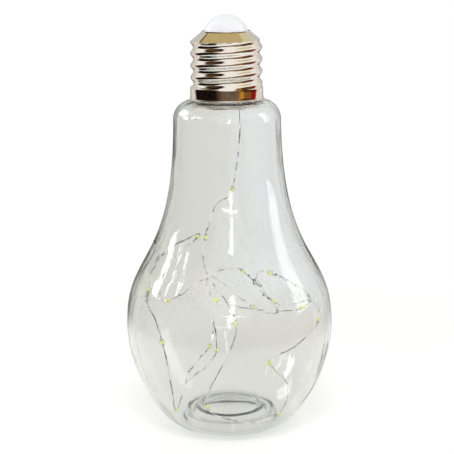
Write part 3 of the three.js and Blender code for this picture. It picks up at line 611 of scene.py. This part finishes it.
# %% Cap mesh
ROUNDING = 0.01
bm = turned(cap_outline, CAP_SIDES, closed=True)
for vert in bm.verts:
    height = vert.co.z / MM
    radius = vert.co.xy.length / MM
    if BAND_TOP < height <= thread_top + ROUNDING and radius > ROOT_RADIUS:
        scale = knuckle_radius(height, math.atan2(vert.co.y, vert.co.x)) / radius
        vert.co.x *= scale
        vert.co.y *= scale
cap_mesh = to_mesh(bm, "threaded_cap", sharp=50)
cap = add_piece("threaded_cap", cap_mesh, "cap", "plated_cap", "cap_shell")
print("cap faces:", len(cap_mesh.polygons))

# %% [markdown]
# The sheet is steel with a bright nickel plating, which is a little warm. It mirrors the room, so its
# look is mostly what it reflects. Polishing marks round the cap vary its roughness a little, and are drawn
# coarser than real ones, which would not show. The rolling leaves it very slightly uneven.

# %% Nickel plating
POLISHING_MARKS, MARK_STRETCH, ROLLING_WAVES = 4, 6, 5
plated, tree, shader = new_material("nickel_plated_steel")
place = add_node(tree, "ShaderNodeTexCoord")
stretch = add_node(tree, "ShaderNodeMapping", {
    "Vector": place.outputs["Object"], "Scale": (1, 1, MARK_STRETCH)})
marks = add_node(tree, "ShaderNodeTexNoise", {
    "Vector": stretch.outputs["Vector"], "Scale": per_mm(POLISHING_MARKS), "Detail": 4.0})
gloss = add_node(tree, "ShaderNodeMapRange", {
    "Value": marks.outputs["Fac"], "To Min": 0.04, "To Max": 0.12})
tree.links.new(gloss.outputs["Result"], shader.inputs["Roughness"])
uneven = add_node(tree, "ShaderNodeTexNoise", {
    "Vector": place.outputs["Object"], "Scale": per_mm(ROLLING_WAVES), "Detail": 1.0})
rolled = add_node(tree, "ShaderNodeBump", {
    "Height": uneven.outputs["Fac"], "Strength": 0.12, "Distance": 0.2 * MM})
tree.links.new(rolled.outputs["Normal"], shader.inputs["Normal"])
shader.inputs["Base Color"].default_value = linear("#EEE9E2")
shader.inputs["Metallic"].default_value = 1.0
cap_mesh.materials.append(plated)
print("finish:", plated.name)

# %% [markdown]
# ## Button
# The button is a smooth white dome with a skirt that runs in the cap's opening, a flange that keeps it
# in and a boss over the switch. It is turned from one outline as well.

# %% Button mesh
BUTTON_RADIUS, BUTTON_WALL, BUTTON_BOSS = 11.2, 1.5, 2.2
FLANGE_RADIUS, FLANGE_HEIGHT, FLANGE_GAP = 12.6, 1.2, 0.3
DOME_TOP, BOSS_BOTTOM = 218.5, 210.4
BUTTON_SIDES = 96
DOME_STEPS, INSIDE_STEPS = 32, 12
dome_height = DOME_TOP - CONE_TOP
dome_radius = (BUTTON_RADIUS ** 2 + dome_height ** 2) / (2 * dome_height)
dome_centre = (0, DOME_TOP - dome_radius)
inner_radius = dome_radius - BUTTON_WALL
skirt_inner = BUTTON_RADIUS - BUTTON_WALL
flange_top = CONE_TOP - CONE_DROP - FLANGE_GAP - (FLANGE_RADIUS - CONE_TOP_RADIUS) * slope
boss_angle = math.degrees(math.acos(BUTTON_BOSS / inner_radius))
skirt_angle = math.degrees(math.acos(skirt_inner / inner_radius))
dome_angle = math.degrees(math.acos(BUTTON_RADIUS / dome_radius))
button_outline = [(0, BOSS_BOTTOM), (BUTTON_BOSS, BOSS_BOTTOM)]
button_outline += arc(dome_centre, inner_radius, boss_angle, skirt_angle, INSIDE_STEPS)
button_outline += [(skirt_inner, flange_top - FLANGE_HEIGHT), (FLANGE_RADIUS, flange_top - FLANGE_HEIGHT),
                   (FLANGE_RADIUS, flange_top), (BUTTON_RADIUS, flange_top)]
button_outline += arc(dome_centre, dome_radius, dome_angle, 90, DOME_STEPS)
bm = turned(button_outline, BUTTON_SIDES)
button_mesh = to_mesh(bm, "button_dome", sharp=50)
add_piece("button_dome", button_mesh, "button", "white_plastic", "push_button")
print("button faces:", len(button_mesh.polygons))

# %% [markdown]
# Moulded ABS is smooth with a soft shine. A little light goes into it, and the moulding leaves a faint
# texture in the shine, drawn coarser than it is so that it shows.

# %% White plastic
MOULD_TEXTURE = 0.8
LIGHT_DEPTH = 0.8 * MM
white, tree, shader = new_material("moulded_white_abs")
place = add_node(tree, "ShaderNodeTexCoord")
moulded = add_node(tree, "ShaderNodeTexNoise", {
    "Vector": place.outputs["Object"], "Scale": per_mm(MOULD_TEXTURE), "Detail": 2.0})
soft = add_node(tree, "ShaderNodeMapRange", {
    "Value": moulded.outputs["Fac"], "To Min": 0.24, "To Max": 0.36})
tree.links.new(soft.outputs["Result"], shader.inputs["Roughness"])
shader.inputs["Base Color"].default_value = linear("#FBFCFF")
shader.inputs["Subsurface Weight"].default_value = 0.1
shader.inputs["Subsurface Radius"].default_value = (LIGHT_DEPTH, LIGHT_DEPTH, LIGHT_DEPTH)
shader.inputs["Subsurface Scale"].default_value = 1.0
button_mesh.materials.append(white)
print("finish:", white.name)

# %% [markdown]
# ## Inside the cap
# The pieces under the cap keep their CAD shapes and get their real finishes: moulded black plastic, seal
# rubber, bright steel, a green board and a ceramic resistor. The grain of each is drawn coarse enough to
# show. One function makes them, because they differ only in colour, shine and grain.


# %% Finishes inside the cap
def finish(name, dark, light, size, rough, metallic=0.0):
    """A finish whose colour and roughness vary with a noise of that size in mm."""
    material, tree, shader = new_material(name)
    place = add_node(tree, "ShaderNodeTexCoord")
    grain = add_node(tree, "ShaderNodeTexNoise", {
        "Vector": place.outputs["Object"], "Scale": per_mm(size), "Detail": 3.0})
    colour = add_node(tree, "ShaderNodeMix", {
        MIX_SHARE: grain.outputs["Fac"], MIX_BELOW: linear(dark), MIX_OVER: linear(light)}, data_type="RGBA")
    shine = add_node(tree, "ShaderNodeMapRange", {
        "Value": grain.outputs["Fac"], "To Min": rough[0], "To Max": rough[1]})
    tree.links.new(colour.outputs[MIXED], shader.inputs["Base Color"])
    tree.links.new(shine.outputs["Result"], shader.inputs["Roughness"])
    shader.inputs["Metallic"].default_value = metallic
    return material


inner_finishes = {
    finish("moulded_black_abs", "#262627", "#303032", 0.5, (0.45, 0.6)): (
        "cap_liner", "battery_holder", "battery_cover", "push_switch"),
    finish("silicone_rubber", "#CFCFCB", "#DEDEDA", 0.6, (0.7, 0.85)): ("seal_ring", "wire_grommet"),
    finish("nickel_plated_can", "#AEB1B4", "#C6C9CC", 1.2, (0.2, 0.35), 1.0): (
        "battery_cell_1", "battery_cell_2", "battery_cell_3", "contact_plate", "contact_spring"),
    finish("zinc_plated_screw", "#9FA3A8", "#BDC1C4", 0.4, (0.25, 0.45), 1.0): (
        "cover_screw", "board_screw_1", "board_screw_2"),
    finish("green_board_laminate", "#245A31", "#347544", 0.9, (0.35, 0.5)): ("circuit_board",),
    finish("black_ceramic_resistor", "#1B1B1D", "#2A2A2D", 0.3, (0.4, 0.6)): ("series_resistor",),
    white: ("switch_plunger",),
}
for material, nodes in inner_finishes.items():
    for node in nodes:
        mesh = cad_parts[node].data
        mesh.materials.clear()
        mesh.materials.append(material)
print("finishes inside the cap:", len(inner_finishes))

# %% [markdown]
# ## Floor
# The lamp stands on a white table that fades out into the white background, so no edge or horizon shows.
# The lamps leave it a little grey. A faint glow, which is only seen and lights nothing, lifts it to white,
# and the shadow under the lamp stays.

# %% Floor
FLOOR_RADIUS = 0.32
FLOOR_FADE = 0.16
FLOOR_LIFT = 0.3
FLOOR_SINK = 0.2 * MM
FLOOR_SIDES = 96
bm = bmesh.new()
bmesh.ops.create_circle(bm, cap_ends=True, radius=FLOOR_RADIUS, segments=FLOOR_SIDES,
                        matrix=Matrix.Translation((0, 0, -FLOOR_SINK)))
floor_finish, tree, shader = new_material("white_table")
shader.inputs["Base Color"].default_value = linear("#E8E8E5")
shader.inputs["Roughness"].default_value = 0.9
shader.inputs["Emission Color"].default_value = linear("#FFFFFC")
ray = add_node(tree, "ShaderNodeLightPath")
seen = add_node(tree, "ShaderNodeMath", {
    0: ray.outputs["Is Camera Ray"], 1: ray.outputs["Is Glossy Ray"]}, operation="MAXIMUM")
seen = add_node(tree, "ShaderNodeMath", {
    0: seen.outputs["Value"], 1: ray.outputs["Is Transmission Ray"]}, operation="MAXIMUM")
lift = add_node(tree, "ShaderNodeMath", {
    0: seen.outputs["Value"], 1: FLOOR_LIFT}, operation="MULTIPLY")
tree.links.new(lift.outputs["Value"], shader.inputs["Emission Strength"])
place = add_node(tree, "ShaderNodeTexCoord")
reach = add_node(tree, "ShaderNodeVectorMath", {0: place.outputs["Object"]}, operation="LENGTH")
fade = add_node(tree, "ShaderNodeMapRange", {
    "Value": reach.outputs["Value"], "From Min": FLOOR_FADE, "From Max": FLOOR_RADIUS},
    interpolation_type="SMOOTHSTEP")
clear = add_node(tree, "ShaderNodeBsdfTransparent")
mixed = add_node(tree, "ShaderNodeMixShader", {
    0: fade.outputs["Result"], 1: shader.outputs["BSDF"], 2: clear.outputs["BSDF"]})
tree.links.new(mixed.outputs["Shader"], tree.nodes["Material Output"].inputs["Surface"])
floor = bpy.data.objects.new("table", to_mesh(bm, "table", floor_finish))
scene.collection.objects.link(floor)
print("floor radius in m:", FLOOR_RADIUS)

# %% [markdown]
# ## Room
# Bright plating shows little colour of its own: it mirrors what stands round the lamp. A picture of a room
# could be wrapped round the scene, but for so small a mirror a few soft bands of colour do, laid out by
# bearing and height. Only mirrors see this room. The helpers here turn a direction into a bearing, and
# lay one colour over another.

# %% Directions in the room
world = bpy.data.worlds.new("studio")
scene.world = world
world.use_nodes = True
tree = world.node_tree
tree.nodes.clear()
sky = add_node(tree, "ShaderNodeTexCoord")
way = add_node(tree, "ShaderNodeSeparateXYZ", {0: sky.outputs["Generated"]})
front = add_node(tree, "ShaderNodeMath", {0: way.outputs["Y"], 1: -1.0}, operation="MULTIPLY")
bearing = add_node(tree, "ShaderNodeMath", {
    0: way.outputs["X"], 1: front.outputs["Value"]}, operation="ARCTAN2")
turn_share = add_node(tree, "ShaderNodeMapRange", {
    "Value": bearing.outputs["Value"], "From Min": -math.pi, "From Max": math.pi})


def round_the_room(stops):
    """Colours or shares by bearing in degrees: 0 is towards the camera, and the right is positive."""
    node = add_node(tree, "ShaderNodeValToRGB", {"Fac": turn_share.outputs["Result"]})
    elements = node.color_ramp.elements
    places = [(degrees + 180) / 360 for degrees, _ in stops]
    for place in places[1:-1]:
        elements.new(place)
    for element, place, (_, colour) in zip(elements, places, stops):
        element.position = place
        element.color = colour if isinstance(colour, tuple) else (colour, colour, colour, 1)
    return node.outputs["Color"]


def lay(below, colour, value, levels, share=1.0):
    """Lays a colour over another where a value has risen from one level to the next, up to a share."""
    risen = add_node(tree, "ShaderNodeMapRange", {
        "Value": value, "From Min": levels[0], "From Max": levels[1], "To Max": share},
        interpolation_type="SMOOTHSTEP")
    laid = add_node(tree, "ShaderNodeMix", {
        MIX_SHARE: risen.outputs["Result"], MIX_BELOW: below, MIX_OVER: colour}, data_type="RGBA")
    return laid.outputs[MIXED]


print("world:", world.name)

# %% [markdown]
# The walls go round the lamp: a pale wall behind it, a dark room on the left, and on the right a shelf, a
# lamp shade, a door and a red curtain beside a window. A noise of clutter breaks them up. On the right
# only a level strip is lit, and above and below it the wall is dark.

# %% Walls
BACK_GREY, PALE_WALL, DARK_ROOM, BROWN_SHELF = [linear(code) for code in (
    "#84847F", "#E6DFD6", "#100A09", "#75604F")]
BRASS_SHADE, WOODEN_DOOR, RED_CURTAIN, WINDOW = [linear(code) for code in (
    "#C98A2E", "#80582A", "#980F06", "#F2E9E6")]
WALLS = [(-180, BACK_GREY), (-160, BACK_GREY), (-148, PALE_WALL), (-119, PALE_WALL), (-115, DARK_ROOM),
         (-36, DARK_ROOM), (-10, BROWN_SHELF), (37, BROWN_SHELF), (45, BRASS_SHADE), (54, BRASS_SHADE),
         (60, WOODEN_DOOR), (76, WOODEN_DOOR), (90, RED_CURTAIN), (105, RED_CURTAIN), (110, WINDOW),
         (148, WINDOW), (160, BACK_GREY), (180, BACK_GREY)]
UNLIT = [(-180, 0.0), (40, 0.0), (52, 0.85), (104, 0.85), (110, 0.0), (180, 0.0)]
EYE_LEVEL, LIT_STRIP = -0.18, (0.15, 0.21)
CLUTTER_SCALE, CLUTTER_LEVELS, CLUTTER_SHARE = 9.0, (0.52, 0.62), 0.45
walls = round_the_room(WALLS)
clutter = add_node(tree, "ShaderNodeTexNoise", {
    "Vector": sky.outputs["Generated"], "Scale": CLUTTER_SCALE, "Detail": 3.0})
room = lay(walls, linear("#3A2A20"), clutter.outputs["Fac"], CLUTTER_LEVELS, CLUTTER_SHARE)
off_level = add_node(tree, "ShaderNodeMath", {0: way.outputs["Z"], 1: EYE_LEVEL}, operation="SUBTRACT")
off_level = add_node(tree, "ShaderNodeMath", {0: off_level.outputs["Value"]}, operation="ABSOLUTE")
room = lay(room, linear("#120A08"), off_level.outputs["Value"], LIT_STRIP, round_the_room(UNLIT))
print("wall colours:", len(WALLS))

# %% [markdown]
# The walls end at a height that changes with the bearing, with a tan cornice and white light above. Behind
# the lamp the background is in shade, and overhead are dark beams and a khaki ceiling.

# %% Wall tops and ceiling
TOPS = [(-180, 0.0), (-118, 0.1), (-95, 0.45), (-60, 0.6), (-35, 0.45), (-15, 0.05), (15, 0.0), (35, 0.35),
        (70, 0.42), (104, 0.2), (112, 0.0), (180, 0.0)]
OPEN_BACK = [(-180, 1.0), (-150, 1.0), (-118, 0.0), (112, 0.0), (150, 1.0), (180, 1.0)]
BEAMS = [(-180, 0.0), (-112, 0.0), (-96, 1.0), (-30, 1.0), (-14, 0.0), (34, 0.0), (52, 0.9), (100, 0.9),
         (125, 0.0), (180, 0.0)]
BEAM_TILT = -0.35
CORNICE, LIGHT_ABOVE, BACK_SHADE, BEAM_LEVELS = (0.0, 0.08), (0.08, 0.22), (0.02, 0.12), (0.90, 0.93)
CEILING = [((-0.15, 0.25, 0.955), (0.825, 0.84), "#6A4A2A"), ((0.25, 0.25, 0.93), (0.82, 0.86), "#D9D0AC"),
           ((-0.12, 0.25, 0.96), (0.85, 0.87), "#C6B27E")]
above = add_node(tree, "ShaderNodeMath", {
    0: way.outputs["Z"], 1: round_the_room(TOPS)}, operation="SUBTRACT")
room = lay(room, linear("#D9BFA0"), above.outputs["Value"], CORNICE)
room = lay(room, linear("#FFFCF8"), above.outputs["Value"], LIGHT_ABOVE)
behind = lay(walls, linear("#CECEC7"), way.outputs["Z"], BACK_SHADE)
opened = add_node(tree, "ShaderNodeMix", {
    MIX_SHARE: round_the_room(OPEN_BACK), MIX_BELOW: room, MIX_OVER: behind}, data_type="RGBA")
tilt = add_node(tree, "ShaderNodeMath", {0: way.outputs["X"], 1: BEAM_TILT}, operation="MULTIPLY")
aloft = add_node(tree, "ShaderNodeMath", {0: way.outputs["Z"], 1: tilt.outputs["Value"]}, operation="ADD")
room = lay(opened.outputs[MIXED], linear("#15100C"), aloft.outputs["Value"], BEAM_LEVELS,
           round_the_room(BEAMS))
for toward, levels, code in CEILING:
    near = add_node(tree, "ShaderNodeVectorMath", {
        0: sky.outputs["Generated"], 1: toward}, operation="DOT_PRODUCT")
    room = lay(room, linear(code), near.outputs["Value"], levels)
print("ceiling areas:", len(CEILING))

# %% [markdown]
# The camera sees a white background, and so does glass that is looked through, a little warmer on the left
# than on the right. Along its edge a ray crosses two skins of the glass, not four, and is bent far aside.
# In a studio it then meets the dark sides of the background, which draw the glass's grey outline, so rays
# that have crossed fewer than three skins see greys. The bulk of the light is even and plain.

# %% What each ray sees
EDGES = [(-180, "#87938B"), (-173, "#DDE2DE"), (-162, "#C3CBC5"), (-150, "#8E9A92"), (-138, "#A7B1AA"),
         (0, "#B4BCB7"), (138, "#B4BCB7"), (150, "#B9C1BC"), (160, "#E6EAE8"), (173, "#EEF1F0"),
         (180, "#87938B")]
WARM_WHITE, COOL_WHITE, PLAIN_WHITE = (0.98, 0.98, 0.95, 1), (1.09, 1.12, 1.18, 1), (1, 1, 1, 1)
COOL_SIDE = (-0.03, 0.06)
EDGE_SKINS = 2.5
EVEN_LIGHT = 0.5
ray = add_node(tree, "ShaderNodeLightPath")
backdrop = lay(WARM_WHITE, COOL_WHITE, way.outputs["X"], COOL_SIDE)
at_edge = add_node(tree, "ShaderNodeMath", {
    0: ray.outputs["Transmission Depth"], 1: EDGE_SKINS}, operation="LESS_THAN")
edges = round_the_room([(degrees, linear(code)) for degrees, code in EDGES])
through = add_node(tree, "ShaderNodeMix", {
    MIX_SHARE: at_edge.outputs["Value"], MIX_BELOW: backdrop, MIX_OVER: edges}, data_type="RGBA")
white_or_glass = add_node(tree, "ShaderNodeMix", {
    MIX_SHARE: ray.outputs["Is Transmission Ray"], MIX_BELOW: PLAIN_WHITE, MIX_OVER: through.outputs[MIXED]},
    data_type="RGBA")
white_seen = add_node(tree, "ShaderNodeMath", {
    0: ray.outputs["Is Camera Ray"], 1: ray.outputs["Is Transmission Ray"]}, operation="MAXIMUM")
mirrored = add_node(tree, "ShaderNodeBackground", {"Color": room, "Strength": 1.0})
even = add_node(tree, "ShaderNodeBackground", {"Color": PLAIN_WHITE, "Strength": EVEN_LIGHT})
shown = add_node(tree, "ShaderNodeBackground", {"Color": white_or_glass.outputs[MIXED], "Strength": 1.0})
other = add_node(tree, "ShaderNodeMixShader", {
    0: ray.outputs["Is Glossy Ray"], 1: even.outputs["Background"], 2: mirrored.outputs["Background"]})
whole = add_node(tree, "ShaderNodeMixShader", {
    0: white_seen.outputs["Value"], 1: other.outputs["Shader"], 2: shown.outputs["Background"]})
add_node(tree, "ShaderNodeOutputWorld", {"Surface": whole.outputs["Shader"]})
print("greys along the glass's edge:", len(EDGES))

# %% [markdown]
# ## Lamps
# A wide soft lamp above lights the glass at a plain level. The others are there for their mirror images,
# which are the white streaks in the glass: two tubes, a box and a window on the left, a box on the right,
# and near the camera a strip over a small flash with a bar across it. The lamp above is kept out of
# mirrors, where it would show as a hard rectangle. The cap is left out of all their light, because bright
# spots would drown the room that it mirrors.

# %% Lamps
# Each row has a name, a place and a size in m, and a power in W.
LAMPS = [
    ("overhead", (0, -0.75, 1.2), (0.5, 0.3), 5.7),
    ("left_tube_front", (-0.93, -0.36, 0.72), (0.03, 0.3), 0.3),
    ("left_tube_middle", (-1.0, -0.12, 0.6), (0.045, 0.3), 0.4),
    ("left_box", (-0.98, 0.19, 0.43), (0.18, 0.22), 1.1),
    ("left_window", (-0.82, 0.57, 0.57), (0.36, 0.36), 1.6),
    ("right_box", (1.0, 0.05, 0.5), (0.34, 0.8), 2.1),
    ("front_strip", (0.1, -1.2, 0.66), (0.1, 0.42), 0.62),
    ("front_flash", (0.06, -1.2, 0.34), (0.1, 0.14), 0.3),
    ("front_bar", (0.08, -1.2, 0.39), (0.6, 0.016), 0.16),
]
LIT_POINT = Vector((0, 0, 0.12))
kept_off = bpy.data.collections.new("kept_off_by_lamps")
kept_off.objects.link(cap)
kept_off.collection_objects[0].light_linking.link_state = "EXCLUDE"
for name, place, size, power in LAMPS:
    light = bpy.data.lights.new(name, "AREA")
    light.shape = "RECTANGLE"
    light.size, light.size_y = size
    light.energy = power
    lamp = bpy.data.objects.new(name, light)
    lamp.location = place
    lamp.rotation_euler = (LIT_POINT - Vector(place)).to_track_quat("-Z", "Y").to_euler()
    lamp.light_linking.receiver_collection = kept_off
    lamp.visible_glossy = lamp.visible_transmission = name != "overhead"
    scene.collection.objects.link(lamp)
scene.view_settings.view_transform = "Standard"
print("lamps:", len(LAMPS))

# %% [markdown]
# Photographers hold a black card beside bright metal to draw a dark line on it. Here an oval card lies flat
# on the left of the lamp. Only mirrors see it, and it darkens the undersides of the thread's crests on
# that side.

# %% Black card
CARD_PLACE = (-0.066, 0.014, 0.1)
CARD_REACH = Vector((0.026, 0.065, 1))
CARD_TURN = math.radians(25)
CARD_SIDES = 48
card_pose = Matrix.Translation(CARD_PLACE) @ Matrix.Rotation(CARD_TURN, 4, "Z")
bm = bmesh.new()
bmesh.ops.create_circle(bm, cap_ends=True, radius=1, segments=CARD_SIDES,
                        matrix=card_pose @ Matrix.Diagonal(CARD_REACH).to_4x4())
card_finish, tree, shader = new_material("black_card")
shader.inputs["Base Color"].default_value = linear("#120A08")
shader.inputs["Roughness"].default_value = 1.0
card = bpy.data.objects.new("black_card", to_mesh(bm, "black_card", card_finish))
card.visible_camera = card.visible_diffuse = card.visible_transmission = card.visible_shadow = False
scene.collection.objects.link(card)
print("card across in mm:", [round(2 * reach / MM) for reach in CARD_REACH.xy])
